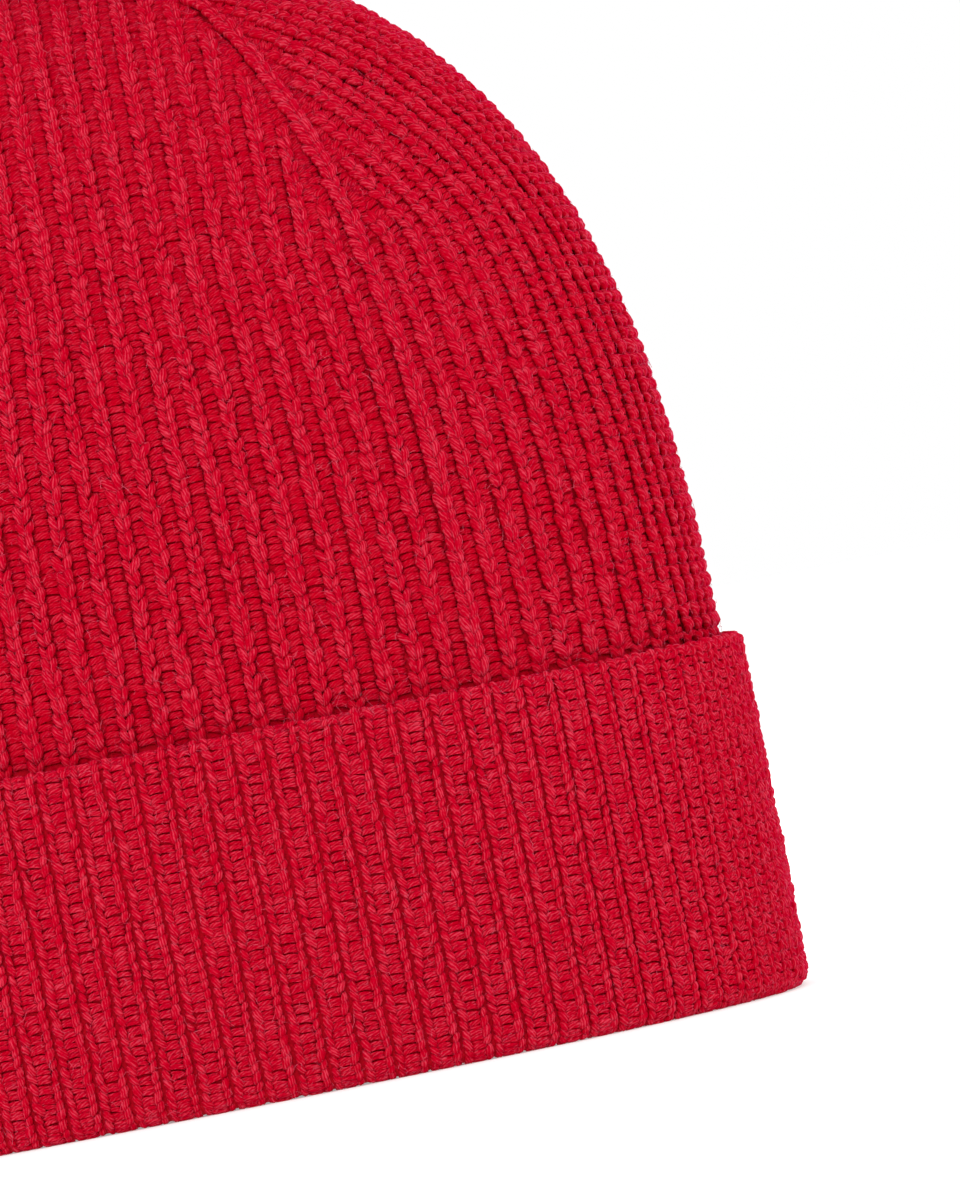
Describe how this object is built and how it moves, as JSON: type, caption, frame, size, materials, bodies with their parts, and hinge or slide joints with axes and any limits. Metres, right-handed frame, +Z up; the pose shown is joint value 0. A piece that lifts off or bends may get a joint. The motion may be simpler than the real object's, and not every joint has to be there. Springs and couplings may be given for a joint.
{
  "type": "pom pom beanie",
  "caption": "Rib-knit beanie with a domed crown, a deep turned-up cuff and a yarn pom pom that tilts on its tied shank, standing open as on a head.",
  "frame": {"origin": "centre of the head opening, on the surface that the fold of the cuff rests on", "axes": "+Z up through the crown, -Y towards the wide face over the side of the head, +Y towards the back seam, +X along the long side of the head opening"},
  "size_m": [0.2216, 0.1734, 0.3232],
  "materials": {
    "body_knit": "soft brushed rib-knit wool",
    "cuff_knit": "soft brushed rib-knit wool, reverse face",
    "pom_wool": "fluffy cut yarn ends",
    "seam_yarn": "plied wool yarn",
    "label": "woven satin tape, blank",
    "label_thread": "cotton thread"
  },
  "bodies": {
    "hat": {"knit_body": "body_knit", "turned_cuff": "cuff_knit", "back_seam": "seam_yarn", "crown_gather_yarn": "seam_yarn", "anchor_knot": "seam_yarn", "care_label": "label", "label_stitch": "label_thread"},
    "shank": {"shank_wrap": "seam_yarn"},
    "pom": {"pom_tie": "seam_yarn", "pom_pile": "pom_wool"}
  },
  "joints": [
    {"name": "pom_nod", "type": "hinge", "parent": "hat", "child": "shank", "pos_m": [0, 0, 0.238], "axis": [1, 0, 0], "range_deg": [-15, 15], "stiffness_Nm_per_rad": 0.05},
    {"name": "pom_sway", "type": "hinge", "parent": "shank", "child": "pom", "pos_m": [0, 0, 0.238], "axis": [0, 1, 0], "range_deg": [-15, 15], "stiffness_Nm_per_rad": 0.05}
  ]
}
